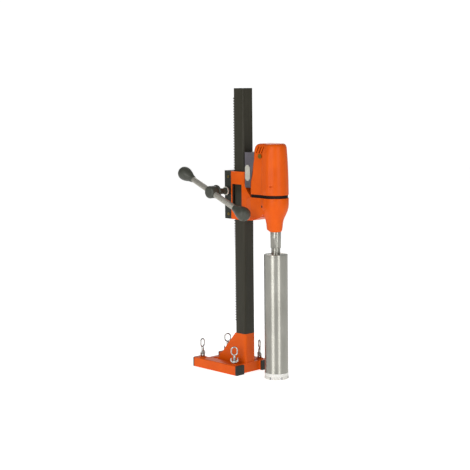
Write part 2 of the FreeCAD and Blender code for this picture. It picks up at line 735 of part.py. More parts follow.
# Spindle and core bit
spindle = upright(spindle_radius, S[0], S[1], spindle_bottom, nose_bottom - 0.5)
flat_x = spindle_radius - 3.0
spindle = spindle.cut(box(-spindle_radius - 1, -flat_x, S[1] - 30, S[1] + 30, spindle_bottom - 1, 497))
spindle = spindle.cut(box(flat_x, spindle_radius + 1, S[1] - 30, S[1] + 30, spindle_bottom - 1, 497))
gear_seat = 8.0
spindle = spindle.fuse(upright(journal_radius, S[0], S[1], nose_bottom - 0.5, floor_z + 0.5))
spindle = spindle.fuse(upright(gear_seat, S[0], S[1], floor_z + 0.5, gear_low + gear_face))
spindle = spindle.cut(upright(4.0, S[0], S[1], spindle_bottom - 1, gear_low + gear_face - 6))
save("spindle", spindle.removeSplitter())
save("spindle_gear", spur(coarse_module, coarse_gear, gear_low, gear_low + gear_face, S[0], S[1],
                          to_back + math.pi / coarse_gear, gear_seat))
adapter = upright(adapter_radius, S[0], S[1], bit_top, spindle_bottom)
adapter = adapter.cut(upright(4.0, S[0], S[1], bit_top - 1, spindle_bottom + 1))
flat_depth = 1.6
for sign in (-1, 1):
    x0 = adapter_radius - flat_depth if sign > 0 else -adapter_radius - 1
    adapter = adapter.cut(box(x0, x0 + flat_depth + 1, S[1] - 20, S[1] + 20, bit_top + 6, spindle_bottom - 5))
save("bit_adapter", adapter)

barrel_in = barrel_radius - barrel_wall
barrel = upright(barrel_radius, S[0], S[1], crown_band, bit_top)
barrel = barrel.fuse(upright(barrel_radius + crown_proud, S[0], S[1], segment_height, crown_band))
barrel = barrel.cut(upright(barrel_in, S[0], S[1], segment_height - 1, bit_top - barrel_lid))
barrel = barrel.cut(upright(4.0, S[0], S[1], bit_top - barrel_lid - 1, bit_top + 1))
save("core_barrel", barrel.removeSplitter())
crown_out = barrel_radius + crown_proud
segments = []
crown = upright(crown_out, S[0], S[1], 0, segment_height)
crown = crown.cut(upright(crown_out - segment_thick, S[0], S[1], -1, segment_height + 1))
for k in range(segment_count):
    slot_cut = box(0, crown_out + 5, -segment_slot / 2, segment_slot / 2, -1, segment_height + 1)
    slot_cut.rotate(V(0, 0, 0), V(0, 0, 1), -138.5 + 360.0 * (k + 0.5) / segment_count)
    crown = crown.cut(moved(slot_cut, S[0], S[1], 0))
save("crown_segments", crown)

# Bearings and seal
def race(outer, inner, x, y, z0, z1):
    return upright(outer, x, y, z0, z1).cut(upright(inner + run_play, x, y, z0 - 1, z1 + 1))


save("spindle_bearings", [race(lower_bearing, journal_radius, S[0], S[1], lower_z0, lower_z1),
                          race(upper_bearing, journal_radius, S[0], S[1], upper_z0, floor_z - 1)])
save("spindle_seal", race(journal_radius + 3, journal_radius, S[0], S[1], nose_bottom + 1, lower_z0))
lay_shaft = 4.0
save("layshaft_bearings", [
    race(lay_bearing, lay_shaft, L[0], L[1], floor_z - lay_bearing_face - 1, floor_z - 1),
    race(lay_bearing, lay_shaft, L[0], L[1], plate_under + 2, plate_under + 2 + lay_bearing_face)])
layshaft = upright(lay_shaft, L[0], L[1], floor_z - lay_bearing_face, plate_under + 2 + lay_bearing_face)
lay_pinion = spur(coarse_module, coarse_pinion, gear_low, gear_low + gear_face, L[0], L[1], to_spindle, 0)
save("layshaft", layshaft.fuse(lay_pinion))
save("layshaft_gear", spur(fine_module, fine_gear, fine_low, fine_low + fine_face, L[0], L[1],
                           to_arm + math.pi / fine_gear, lay_shaft))

# Bearing plate between gear case and motor, visible as the dark seam
recess = 2.5
lip = case_radius - recess


def head_outline(radius, side, rear, corner, z):
    y0 = S[1]
    a = V(radius, y0, z)
    d = V(-radius, y0, z)
    front = Part.Arc(d, V(0, y0 - radius, z), a).toShape()
    p1 = V(side, y0 + 22.0, z)
    p2 = V(side, -rear - corner, z)
    p3 = V(side - corner, -rear, z)
    q3 = V(-side + corner, -rear, z)
    q2 = V(-side, -rear - corner, z)
    q1 = V(-side, y0 + 22.0, z)
    k = corner * (1 - math.cos(math.pi / 4))
    c1 = Part.Arc(p2, V(side - k, -rear - k, z), p3).toShape()
    c2 = Part.Arc(q3, V(-side + k, -rear - k, z), q2).toShape()
    return Part.Wire([front, Part.makeLine(a, p1), Part.makeLine(p1, p2), c1, Part.makeLine(p3, q3),
                      c2, Part.makeLine(q2, q1), Part.makeLine(q1, d)])


head_low = case_top + plate_rise
rim_face = Part.Face(head_outline(lip, head_half - recess, head_rear + recess, 10.0, case_top))
rim = rim_face.extrude(V(0, 0, plate_rise))
hub_plate = upright(cavity_r - 0.5, S[0], S[1], plate_under, case_top)
rim = rim.fuse(hub_plate)
rim = rim.cut(upright(lay_bearing, L[0], L[1], plate_under - 1, plate_under + 2 + lay_bearing_face))
arm_bearing = 9.0
rim = rim.cut(upright(7.0, A[0], A[1], plate_under - 1, head_low + 1))
rim = rim.cut(upright(arm_bearing, A[0], A[1], head_low - 8.0, head_low + 1))
for x, y in screw_spots:
    rim = rim.cut(upright(motor_screw, x, y, plate_under - 1, head_low + 1))
save("bearing_plate", rim.removeSplitter())

# Motor cover: tapered shell with stator seat, bearing boss, brush bosses and vents
crown_z = head_top - 14.0
levels = ((1.0, 0.0, 0.0, head_low), (0.99, 0.4, 0.5, 690.0), (0.98, 0.9, 6.0, 706.0), (0.95, 2.0, 11.5, 745.0),
          (0.905, 4.0, 13.5, 785.0), (0.865, 6.0, 17.0, crown_z))
sections = []
cores = []
for share, tuck, back, z in levels:
    sections.append(head_outline(case_radius * share, head_half - tuck, head_rear + back, 12.0, z))
    if z < crown_z:
        cores.append(head_outline(case_radius * share - head_wall, head_half - tuck - head_wall,
                                  head_rear + back + head_wall, 9.0, z if z > head_low else z - 1))
shell = Part.makeLoft(sections, True, True)
dome = ((0.865, 6.0, 17.0, crown_z), (0.835, 7.5, 19.5, crown_z + 6), (0.775, 10.0, 24.0, crown_z + 10.5),
        (0.68, 14.0, 30.0, crown_z + 13.0), (0.55, 19.5, 38.0, head_top))
domes = [head_outline(case_radius * s, head_half - t, head_rear + b, 12.0, z) for s, t, b, z in dome]
shell = shell.fuse(Part.makeLoft(domes, True, True))
core = Part.makeLoft(cores, True, True)
core_top = 785.0
stator_radius = 35.0
stator_low = 690.0
stator_high = 735.0
seat = shell.common(box(-80, 80, -260, 0, stator_low, stator_high)).cut(
    upright(stator_radius, A[0], A[1], stator_low - 1, stator_high + 1))
brush_z = 779.5
bosses = []
for sign in (-1, 1):
    bosses.append(cyl(9.5, (sign * 20.0, A[1], brush_z), (sign * 60.0, A[1], brush_z)).common(shell))
cover_body = shell.cut(core).fuse(seat)
for boss in bosses:
    cover_body = cover_body.fuse(boss)
bearing_top = core_top + 9.0
cover_body = cover_body.cut(upright(arm_bearing, A[0], A[1], core_top - 1, bearing_top))
holder_radius = 6.0
for sign in (-1, 1):
    cover_body = cover_body.cut(cyl(holder_radius, (sign * 10.0, A[1], brush_z), (sign * 60.0, A[1], brush_z)))
vent_z = 801.0
for k in range(3):
    y = A[1] + 15.0 - 12.5 * k
    for sign in (-1, 1):
        slit = box(0, 28.0, -1.8, 1.8, -13.0, 13.0)
        slit.rotate(V(0, 0, 0), V(1, 0, 0), -24)
        start = -46.0 if sign < 0 else 18.0
        cover_body = cover_body.cut(moved(slit, start, y, vent_z))
vent_room = upright(29.0, A[0], A[1] - 6.0, core_top - 1, head_top - 12.0).cut(
    upright(arm_bearing + 4, A[0], A[1], core_top - 2, head_top))
cover_body = cover_body.cut(vent_room)
motor_screws = []
for x, y in screw_spots:
    post = upright(7.0, x, y, head_low, head_low + 12.0).common(shell)
    cover_body = cover_body.fuse(post)
    cover_body = cover_body.cut(upright(motor_screw, x, y, head_low - 1, head_low + 13.0))
    pin = upright(motor_screw, x, y, case_top - 12.0, head_low + 12.0)
    motor_screws.append(pin.fuse(upright(screw_head, x, y, head_low + 12.0, head_low + 16.0)))
for x, y in screw_spots:
    cover_body = cover_body.cut(upright(screw_head, x, y, head_low + 12.0, head_low + 17.0))
save("motor_cover", cover_body.removeSplitter())
save("motor_screws", motor_screws)

# Stator, brushes, brush caps, armature
air_gap = 0.6
rotor_radius = 22.0
save("stator", upright(stator_radius, A[0], A[1], stator_low, stator_high).cut(
    upright(rotor_radius + air_gap, A[0], A[1], stator_low - 1, stator_high + 1)))
caps = []
brushes = []
commutator = 13.0
cap_face = 40.9
for sign in (-1, 1):
    tube = cyl(holder_radius, (sign * 17.0, A[1], brush_z), (sign * cap_face, A[1], brush_z))
    cap = cyl(8.0, (sign * cap_face, A[1], brush_z), (sign * (cap_face + 1.6), A[1], brush_z))
    cap = cap.cut(box(min(sign * (cap_face + 0.8), sign * 50), max(sign * (cap_face + 0.8), sign * 50),
                      A[1] - 7.0, A[1] + 7.0, brush_z - 0.8, brush_z + 0.8))
    cap = cap.fuse(tube).cut(cyl(3.5, (sign * 16.0, A[1], brush_z), (sign * 30.0, A[1], brush_z)))
    caps.append(cap)
    brushes.append(cyl(3.5, (sign * (commutator + run_play), A[1], brush_z), (sign * 30.0, A[1], brush_z)))
save("brush_caps", caps)
save("brushes", brushes)
save("armature_bearings", [race(arm_bearing, 4.0, A[0], A[1], head_low - 8.0, head_low - 1.0),
                           race(arm_bearing, 4.0, A[0], A[1], core_top + 1.0, core_top + 8.0)])
arm_shaft = upright(4.0, A[0], A[1], fine_low, core_top + 8.0)
arm_pinion = spur(fine_module, fine_pinion, fine_low, fine_low + fine_face, A[0], A[1], to_lay, 0)
save("armature_shaft", arm_shaft.fuse(arm_pinion))
save("armature_core", upright(rotor_radius, A[0], A[1], stator_low, stator_high).cut(
    upright(4.0, A[0], A[1], stator_low - 1, stator_high + 1)))
save("commutator", upright(commutator, A[0], A[1], brush_z - 10, brush_z + 5).cut(
    upright(4.0, A[0], A[1], brush_z - 11, brush_z + 11)))
fan = upright(9.0, A[0], A[1], 658.0, 672.0).fuse(upright(30.0, A[0], A[1], 658.0, 660.0))
for k in range(9):
    blade = box(8.0, 29.0, -0.8, 0.8, 659.0, 671.0)
    blade.rotate(V(0, 0, 0), V(0, 0, 1), 40.0 * k)
    fan = fan.fuse(moved(blade, A[0], A[1], 0))
save("fan", fan.cut(upright(4.0, A[0], A[1], 650, 680)).removeSplitter())

# Control box behind the motor, label plate and rocker switch
box_x = 39.0
ctl_rear = -43.0
ctl_low = 668.0
ctl_high = 791.0
control = rounded_block(-box_x, box_x, -head_rear - 22.0, ctl_rear, (0.01, 5.0, 5.0, 0.01), ctl_low, ctl_high)
control = control.cut(shell)
for sign in (-1, 1):
    x0 = 26.0 if sign > 0 else -50.0
    side_gap = moved(shell, 0, 1.5, 0).common(box(x0, x0 + 24.0, -200, 0, ctl_low - 1, ctl_high + 1))
    control = control.cut(side_gap)
hollow = box(-box_x + 3, box_x - 3, -head_rear + 3, ctl_rear - 3, ctl_low + 3, ctl_high - 3)
control = control.cut(hollow)
label_y = -59.5
label_low = 692.0
label_high = 747.0
label_wide = 11.5
label_tip = 3.5
label_cut = 8.0
label = prism([(-label_wide, label_low + label_cut, 0), (-label_tip, label_low, 0), (label_tip, label_low, 0),
               (label_wide, label_low + label_cut, 0), (label_wide, label_high - label_cut, 0),
               (label_tip, label_high, 0), (-label_tip, label_high, 0),
               (-label_wide, label_high - label_cut, 0)], (0, 0, 1.2))
label.rotate(V(0, 0, 0), V(1, 0, 0), 90)
label.rotate(V(0, 0, 0), V(0, 0, 1), -90)
save("label_plate", moved(label, -box_x, label_y, 0))
rocker_z = 730.0
rocker_y = -56.5
rocker_w = 8.0
rocker_h = 13.0
control = control.cut(box(box_x - 4, box_x + 1, rocker_y - rocker_w, rocker_y + rocker_w,
                          rocker_z - rocker_h, rocker_z + rocker_h))
well = box(box_x - 9, box_x - 3, rocker_y - rocker_w - 2, rocker_y + rocker_w + 2,
           rocker_z - rocker_h - 2, rocker_z + rocker_h + 2)
well = well.cut(box(box_x - 8, box_x + 2, rocker_y - rocker_w, rocker_y + rocker_w,
                    rocker_z - rocker_h, rocker_z + rocker_h))
control = control.fuse(well)
axle_x = box_x - 3.0
control = control.cut(cyl(1.5, (axle_x, rocker_y - rocker_w - 1.5, rocker_z),
                          (axle_x, rocker_y + rocker_w + 1.5, rocker_z)))
rocker = [(box_x - 5.5, 0, rocker_z - 11.4), (box_x - 5.5, 0, rocker_z + 11.4),
          (box_x + 0.2, 0, rocker_z + 11.8), (box_x + 1.0, 0, rocker_z), (box_x + 3.4, 0, rocker_z - 11.6)]
rocker = moved(prism(rocker, (0, 2 * rocker_w - 0.6, 0)), 0, rocker_y - rocker_w + 0.3, 0)
rocker = rocker.fuse(cyl(1.5 - run_play, (axle_x, rocker_y - rocker_w - 1.4, rocker_z),
                         (axle_x, rocker_y + rocker_w + 1.4, rocker_z)))
save("switch_rocker", rocker)
gland_y = -60.0
control = control.cut(upright(6.0, 18.0, gland_y, ctl_low - 1, ctl_low + 4))
save("control_box", control.removeSplitter())
gland = upright(9.0, 18.0, gland_y, ctl_low - 8, ctl_low)
gland = gland.fuse(upright(6.0, 18.0, gland_y, ctl_low, ctl_low + 6))
save("cable_gland", gland.cut(upright(3.5, 18.0, gland_y, ctl_low - 9, ctl_low + 7)))
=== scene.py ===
import bmesh
import bpy
import math
from mathutils import Matrix, Vector


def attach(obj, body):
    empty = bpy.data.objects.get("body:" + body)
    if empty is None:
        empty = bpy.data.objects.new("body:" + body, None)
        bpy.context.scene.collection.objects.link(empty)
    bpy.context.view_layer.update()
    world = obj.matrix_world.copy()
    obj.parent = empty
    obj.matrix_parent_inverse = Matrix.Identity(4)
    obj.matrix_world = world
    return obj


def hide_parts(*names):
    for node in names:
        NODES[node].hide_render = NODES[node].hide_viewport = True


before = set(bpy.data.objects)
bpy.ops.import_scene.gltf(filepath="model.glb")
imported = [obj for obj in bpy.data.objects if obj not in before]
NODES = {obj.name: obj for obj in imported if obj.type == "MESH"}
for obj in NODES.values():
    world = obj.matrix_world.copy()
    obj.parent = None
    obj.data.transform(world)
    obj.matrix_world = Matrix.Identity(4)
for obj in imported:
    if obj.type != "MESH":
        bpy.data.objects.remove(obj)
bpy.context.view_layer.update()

# Base plate, cross plate, rails and bracket: hot-rolled steel, cut, folded
# and welded, then powder coated orange. The threaded inserts pressed into the
# rails are coated with them.
MM = 0.001


def linear(code):
    """An sRGB hex value as linear colour."""
    out = []
    for i in (0, 2, 4):
        c = int(code[i:i + 2], 16) / 255
        out.append(c / 12.92 if c <= 0.04045 else ((c + 0.055) / 1.055) ** 2.4)
    return (*out, 1.0)


def add(tree, kind, settings=None, **inputs):
    """A node with its settings and its inputs, each a value or a link."""
    node = tree.nodes.new(kind)
    for key, value in (settings or {}).items():
        setattr(node, key, value)
    for key, value in inputs.items():
        socket = node.inputs[key.replace("_", " ")]
        if isinstance(value, bpy.types.NodeSocket):
            tree.links.new(value, socket)
        else:
            socket.default_value = value
    return node


def ramp(tree, factor, stops):
    """Colours, or plain values, at places along factor."""
    node = add(tree, "ShaderNodeValToRGB", Fac=factor)
    while len(node.color_ramp.elements) < len(stops):
        node.color_ramp.elements.new(0.5)
    for element, (place, colour) in zip(node.color_ramp.elements, stops):
        element.position = place
        element.color = linear(colour) if isinstance(colour, str) else (colour, colour, colour, 1.0)
    return node.outputs["Color"]


def noise(tree, mm, detail=3.0, stretch=(1, 1, 1), rough=0.5):
    """Noise whose patches are about mm across on the real piece."""
    coord = add(tree, "ShaderNodeTexCoord")
    mapping = add(tree, "ShaderNodeMapping", Vector=coord.outputs["Object"], Scale=Vector(stretch))
    return add(tree, "ShaderNodeTexNoise", Vector=mapping.outputs[0], Scale=1.0 / (mm * MM), Detail=detail,
               Roughness=rough).outputs["Fac"]


def bump(tree, height, depth_mm, strength=1.0):
    """A relief depth_mm deep on the real piece."""
    relief = add(tree, "ShaderNodeBump", Height=height, Distance=depth_mm * MM, Strength=strength)
    return relief.outputs["Normal"]


def surface(name, build):
    """A material whose shader takes the values and links that build returns."""
    material = bpy.data.materials.new(name)
    material.use_nodes = True
    tree = material.node_tree
    tree.nodes.clear()
    shader = add(tree, "ShaderNodeBsdfPrincipled", **build(tree))
    add(tree, "ShaderNodeOutputMaterial", Surface=shader.outputs[0])
    return material


def powder_orange(tree):
    # Powder coat: even orange, soft sheen, a fine peel.
    patch = noise(tree, 60.0, 2.0)
    return dict(Base_Color=ramp(tree, patch, [(0.3, "CA4E04"), (0.7, "D45606")]),
                Roughness=ramp(tree, patch, [(0.2, 0.34), (0.8, 0.44)]),
                Specular_IOR_Level=0.13, Normal=bump(tree, noise(tree, 1.6, 2.0), 0.04, 0.5))


def dress(names, material, bevel=0.0, segments=2, angle=32.0):
    """Material and broken edges for nodes whose shape is already right."""
    for name in names:
        obj = NODES[name]
        obj.data.materials.clear()
        obj.data.materials.append(material)
        weld = obj.modifiers.new("weld", "WELD")
        weld.merge_threshold = 0.002 * MM
        if bevel:
            edge = obj.modifiers.new("bevel", "BEVEL")
            edge.width = bevel * MM
            edge.segments = segments
            edge.limit_method = "ANGLE"
            edge.angle_limit = math.radians(angle)
            edge.harden_normals = True


steel_orange = surface("powder coated steel, orange", powder_orange)
dress(("base_plate", "front_cross_plate", "column_bracket"), steel_orange, 0.8)
dress(("left_rail", "right_rail", "levelling_inserts"), steel_orange, 0.3)

# Weld beads: MIG fillets that join bracket, plates and rails, coated with
# the rest. Each is a rippled bar half sunk in the corner.
def piece(name, verts, faces, material, body, swap=(), slot=None, sharp=35.0):
    """A mesh of its own, in mm, that rides on body and may replace nodes."""
    mesh = bpy.data.meshes.new(name)
    mesh.from_pydata([Vector(v) * MM for v in verts], [], faces)
    work = bmesh.new()
    work.from_mesh(mesh)
    bmesh.ops.remove_doubles(work, verts=work.verts, dist=1e-7)
    bmesh.ops.recalc_face_normals(work, faces=work.faces)
    work.to_mesh(mesh)
    work.free()
    mesh.materials.append(material)
    mesh.shade_smooth()
    mesh.set_sharp_from_angle(angle=math.radians(sharp))
    obj = bpy.data.objects.new(name, mesh)
    bpy.context.scene.collection.objects.link(obj)
    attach(obj, body)
    if swap:
        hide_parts(*swap)
    return obj


def skin(loops, ends=True, joined=False):
    """Quads between equal loops, capped at both ends or joined in a circle."""
    count = len(loops[0])
    verts = [p for loop in loops for p in loop]
    faces = []
    rows = len(loops) if joined else len(loops) - 1
    for i in range(rows):
        a, b = i * count, (i + 1) % len(loops) * count
        for j in range(count):
            k = (j + 1) % count
            faces.append((a + j, a + k, b + k, b + j))
    if ends and not joined:
        faces.append(tuple(range(count))[::-1])
        faces.append(tuple(range((len(loops) - 1) * count, len(loops) * count)))
    return verts, faces


def merged(*parts):
    """Several forms, each verts and faces, as one."""
    verts, faces = [], []
    for v, f in parts:
        base = len(verts)
        verts += list(v)
        faces += [tuple(i + base for i in face) for face in f]
    return verts, faces


def sweep(path, radius, sides=10, joined=False):
    """A round bar along path; radius is one number or one for each point."""
    loops = []
    count = len(path)
    side = None
    for i in range(count):
        before = Vector(path[i - 1] if joined or i else path[i])
        after = Vector(path[(i + 1) % count] if joined or i < count - 1 else path[i])
        way = (after - before).normalized()
        if side is None:
            side = way.orthogonal().normalized()
        side = (side - way * side.dot(way)).normalized()
        up = way.cross(side)
        r = radius[i] if isinstance(radius, (list, tuple)) else radius
        centre = Vector(path[i])
        loops.append([centre + side * (r * math.cos(2 * math.pi * j / sides))
                      + up * (r * math.sin(2 * math.pi * j / sides)) for j in range(sides)])
    return skin(loops, joined=joined)


rail_in = 43.0
plate_top = 24.0
bracket_side = 25.2
cross_face = -25.4
bracket_front, cross_top = -25.0, 35.6
bead_step = 2
bead_runs = [[(x, bracket_front, cross_top) for x in range(-17, 18, bead_step)]]
for sign in (-1, 1):
    bead_runs.append([(sign * bracket_side, y, plate_top + 0.8) for y in range(-12, 115, bead_step)])
    bead_runs.append([(sign * (rail_in - 0.6), cross_face, z) for z in range(2, 34, bead_step)])
    bead_runs.append([(sign * (rail_in - 0.8), y, plate_top + 0.8) for y in range(-12, 178, bead_step)])
bead_radius, ripple_deep = 2.0, 0.28
beads = []
for run in bead_runs:
    ripple = [bead_radius + ripple_deep * math.sin(2.4 * i) for i in range(len(run))]
    beads.append(sweep(run, ripple, 8))
piece("weld_beads", *merged(*beads), steel_orange, "base", slot="orange_steel")

# Rail end plugs and column cap: black polyethylene, injection moulded and
# pressed into the tube ends. The skin is matt with a fine grain.
def black_grain(tree):
    # Moulded skin: near black, sheen broken up by the grain, which is drawn
    # about twice as coarse as it is so that it shows.
    patch = noise(tree, 25.0, 2.0)
    return dict(Base_Color=ramp(tree, patch, [(0.3, "22241F"), (0.7, "2C2E28")]),
                Roughness=ramp(tree, patch, [(0.2, 0.48), (0.8, 0.6)]), Specular_IOR_Level=0.25,
                Normal=bump(tree, noise(tree, 0.7, 2.0), 0.03, 0.6))


black_plastic = surface("black moulded polymer, grained", black_grain)
dress(("rail_plugs", "column_cap"), black_plastic, 0.9)

# Column: drawn square steel tube with wide corners, painted dark grey in a
# low-sheen enamel that carries faint lengthwise draw marks.
def column_enamel(tree):
    # Enamel: dark warm grey, low sheen; draw marks run up the tube, drawn 2 mm
    # apart, wider than they are, so that they show.
    marks = noise(tree, 2.0, 3.0, (1, 1, 0.02))
    return dict(Base_Color=ramp(tree, marks, [(0.25, "28261D"), (0.75, "312F25")]),
                Roughness=ramp(tree, noise(tree, 40.0, 2.0), [(0.2, 0.36), (0.8, 0.48)]),
                Specular_IOR_Level=0.2, Normal=bump(tree, marks, 0.02, 0.4))


column_paint = surface("dark grey enamel on drawn tube", column_enamel)
dress(("column_tube",), column_paint, 0.4)

# Spigot, rack screws, gears, shafts and bearings: turned and ground carbon
# steel, bare and lightly oiled, pressed or screwed into place.
def machined(tree):
    # Turned steel: grey metal with rings in its shine, drawn coarser than the
    # tool's marks of about 0.1 mm so that they show.
    cut = noise(tree, 0.5, 2.0, (1, 1, 12))
    return dict(Base_Color=ramp(tree, noise(tree, 15.0, 2.0), [(0.3, "A3A29B"), (0.7, "B4B3AC")]),
                Metallic=1.0, Roughness=ramp(tree, cut, [(0.2, 0.28), (0.8, 0.42)]))


plain_steel = surface("machined steel, oiled", machined)
dress(("column_spigot", "rack_screws", "spindle_gear", "layshaft",
       "layshaft_gear", "armature_shaft", "spindle_bearings", "layshaft_bearings", "armature_bearings"),
      plain_steel, 0.15)
dress(("pinion_shaft",), plain_steel, 0.0)

# Gear rack: hot-rolled bar with milled teeth, blacked by oil and use, with
# brighter worn flanks. Held to the column by sunk socket screws.
def rack_steel(tree):
    # Blacked bar: dull and dark, brighter where the teeth rub.
    wear = noise(tree, 5.0, 4.0)
    return dict(Base_Color=ramp(tree, wear, [(0.35, "4A4942"), (0.75, "6B6A61")]), Metallic=0.85,
                Roughness=ramp(tree, wear, [(0.3, 0.5), (0.8, 0.36)]),
                Normal=bump(tree, noise(tree, 0.4, 2.0, (8, 1, 1)), 0.02, 0.5))


dress(("gear_rack",), surface("milled rack, oiled", rack_steel), 0.25, 1)

# Levelling screws: ring-headed screws of bent bar with a rolled thread, each
# on a swivelling foot pad and locked by a cast wing nut, all bright plated.
def bright_plate(tree):
    # Chromium: close to a mirror, a little hazy.
    haze = noise(tree, 6.0, 3.0)
    return dict(Base_Color=ramp(tree, haze, [(0.3, "A3A29D"), (0.7, "BDBCB8")]), Metallic=1.0,
                Roughness=ramp(tree, haze, [(0.2, 0.1), (0.8, 0.2)]))


chrome = surface("bright chromium plate", bright_plate)


def spin(profile, centre, sides=48, way="Z"):
    """Rings of (radius, place along the way) round centre."""
    loops = []
    cx, cy, cz = centre
    for r, d in profile:
        loop = []
        for j in range(sides):
            a = 2 * math.pi * j / sides
            u, v = r * math.cos(a), r * math.sin(a)
            loop.append((cx + u, cy + v, cz + d) if way == "Z" else (cx + d, cy + u, cz + v))
        loops.append(loop)
    return skin(loops)


def spin_hollow(profile, centre, sides=48, way="Z"):
    """spin for a profile that closes on itself, with a hole down the middle."""
    verts, faces = spin(profile, centre, sides, way)
    last = (len(profile) - 1) * sides
    joins = [(last + j, last + (j + 1) % sides, (j + 1) % sides, j) for j in range(sides)]
    return verts, faces[:-2] + joins


def turned_about(part, x, y, degrees):
    """The form turned about its own upright axis, then stood at x, y."""
    c, s = math.cos(math.radians(degrees)), math.sin(math.radians(degrees))
    return [(x + p[0] * c - p[1] * s, y + p[0] * s + p[1] * c, p[2]) for p in part[0]], part[1]


# Corner, place, turn of the ring and of the wing nut, and how far the ring
# stands above the lowest one.
rail_mid, front_y, rear_y, lifted = 63.0, -8.0, 160.0, 6.5
screws = (("front_left", -rail_mid, front_y, 136.4, 136.4, 0.0),
          ("rear_left", -rail_mid, rear_y, 10.0, 10.0, lifted),
          ("front_right", rail_mid, front_y, 62.0, 75.0, lifted),
          ("rear_right", rail_mid, rear_y, 136.4, 136.4, lifted))
wire = 2.5
ring_mid = 10.5
ring_low, ring_high = 79.0, 87.0
lead, turns = 1.5, 36
root, crest = 4.45, 4.95
threads = [(3.0, 2.0), (3.0, 4.2), (4.4, 4.2)]
for i in range(turns):
    z = 5.0 + lead * i
    threads += [(root, z), (crest, z + 0.55), (crest, z + 0.8), (root, z + 1.35)]
nut_hub = [(5.06, 38.0), (7.6, 38.0), (8.0, 38.5), (8.0, 47.0), (7.0, 49.4), (6.0, 50.0), (5.06, 50.0)]
# Places out from the hub and up, with the wing's half thickness and width.
wing_spine = [(6.0, 41.5, 3.4, 4.6), (8.6, 43.5, 3.0, 4.9), (10.8, 47.0, 2.4, 4.6), (11.8, 51.0, 2.1, 3.9),
              (12.0, 54.5, 2.0, 3.3), (11.9, 57.2, 1.7, 2.6), (11.8, 58.6, 1.2, 1.6)]
nut = spin_hollow(nut_hub, (0, 0, 0), 32)
for side in (-1, 1):
    loops = []
    for wx, wz, thick, wide in wing_spine:
        wing = []
        for j in range(20):
            a = 2 * math.pi * j / 20
            droop = -0.12 * side * wide * math.cos(a)
            wing.append((side * wx + 0.72 * wide * math.cos(a), thick * math.sin(a), wz + droop))
        loops.append(wing)
    nut = merged(nut, skin(loops))
for corner, x, y, turn, nut_turn, lift in screws:
    thread = threads + [(4.9, 59.5), (4.9, 63.0 + lift), (4.2, 66.0 + lift), (3.0, 68.0 + lift)]
    loop = []
    for i in range(17):
        a = math.pi + math.pi * i / 16
        loop.append((ring_mid * math.cos(a), 0, ring_low + lift + ring_mid * math.sin(a)))
    for i in range(17):
        a = math.pi * i / 16
        loop.append((ring_mid * math.cos(a), 0, ring_high + lift + ring_mid * math.sin(a)))
    head = sweep(loop, wire, 14, joined=True)
    eye = merged(spin(thread, (0, 0, 0), 32), head)
    piece("ring_screw_" + corner, *turned_about(eye, x, y, turn), chrome, "screw_" + corner,
          ("eye_screw_" + corner,), "chromed_steel")
    piece("cast_wing_nut_" + corner, *turned_about(nut, x, y, nut_turn), chrome, "wing_" + corner,
          ("wing_nut_" + corner,), "chromed_steel", 40)
    dress(("foot_pad_" + corner,), chrome, 0.2)

# Carriage casting: guide box, arm and gear case in one aluminium casting,
# shot blasted and powder coated, with soft cast edges.
def cast_orange(tree):
    # Powder coat on a cast skin: the same orange, slightly coarser.
    patch = noise(tree, 45.0, 2.0)
    return dict(Base_Color=ramp(tree, patch, [(0.3, "CA4E04"), (0.7, "D45606")]),
                Roughness=ramp(tree, patch, [(0.2, 0.36), (0.8, 0.48)]),
                Specular_IOR_Level=0.13, Normal=bump(tree, noise(tree, 2.2, 3.0), 0.07, 0.6))


casting_orange = surface("powder coated casting, orange", cast_orange)
dress(("carriage_casting",), casting_orange, 1.0, 2, 38.0)


def painted_shade_dark(tree):
    # Painted shade: brown black with hardly any shine, for hollows that light does not reach.
    return dict(Base_Color=ramp(tree, noise(tree, 9.0, 3.0), [(0.3, "2A1D16"), (0.7, "38291F")]),
                Roughness=ramp(tree, noise(tree, 2.0), [(0.2, 0.5), (0.8, 0.7)]), Specular_IOR_Level=0.3)


# Window sides, guide bore and screw recess take painted shade: they are darkened where shade falls inside the
# casting.
# They are told from the coated faces by where each face lies, in mm.
casting = NODES["carriage_casting"]
casting.data.materials.append(surface("casting hollows, painted shade", painted_shade_dark))
arm_half, bore_half = 33.1, 28.3
bore_bottom, bore_top = 552.0, 720.0
window_front, window_rear, window_bottom, window_top = -22.2, 28.2, 587.8, 676.2
recess_y, recess_z, recess_radius, recess_end = -132.0, 606.0, 4.1, -38.0
for face in casting.data.polygons:
    at = casting.matrix_world @ face.center / MM
    in_window = window_front < at.y < window_rear and window_bottom < at.z < window_top
    window_side = abs(at.x) < arm_half and in_window and abs(face.normal.x) < 0.5
    bore = max(abs(at.x), abs(at.y)) < bore_half and bore_bottom < at.z < bore_top
    in_recess = math.hypot(at.y - recess_y, at.z - recess_z) < recess_radius
    recess_wall = in_recess and at.x < recess_end + 1.0 and abs(face.normal.x) < 0.999
    recess_floor = in_recess and abs(at.x - recess_end) < 0.5
    if window_side or bore or recess_wall or recess_floor:
        face.material_index = 1

# Guide liners: two acetal frames, open at the back for the rack, machined to
# slide on the column and pressed into the guide box at its top and bottom.
def acetal(tree):
    # Acetal: off-white, waxy, faintly translucent.
    return dict(Base_Color=ramp(tree, noise(tree, 12.0), [(0.3, "D6D1C2"), (0.7, "E0DCCF")]),
                Roughness=ramp(tree, noise(tree, 1.0), [(0.2, 0.35), (0.8, 0.5)]), Subsurface_Weight=0.05)


dress(("guide_liners",), surface("machined acetal", acetal), 0.3)

# Rear cover over rack and pinion: black moulded cap with rounded corners,
# held to the casting's ears by four yellow zinc plated socket bolts.
dress(("rear_cover",), black_plastic, 2.8, 4)


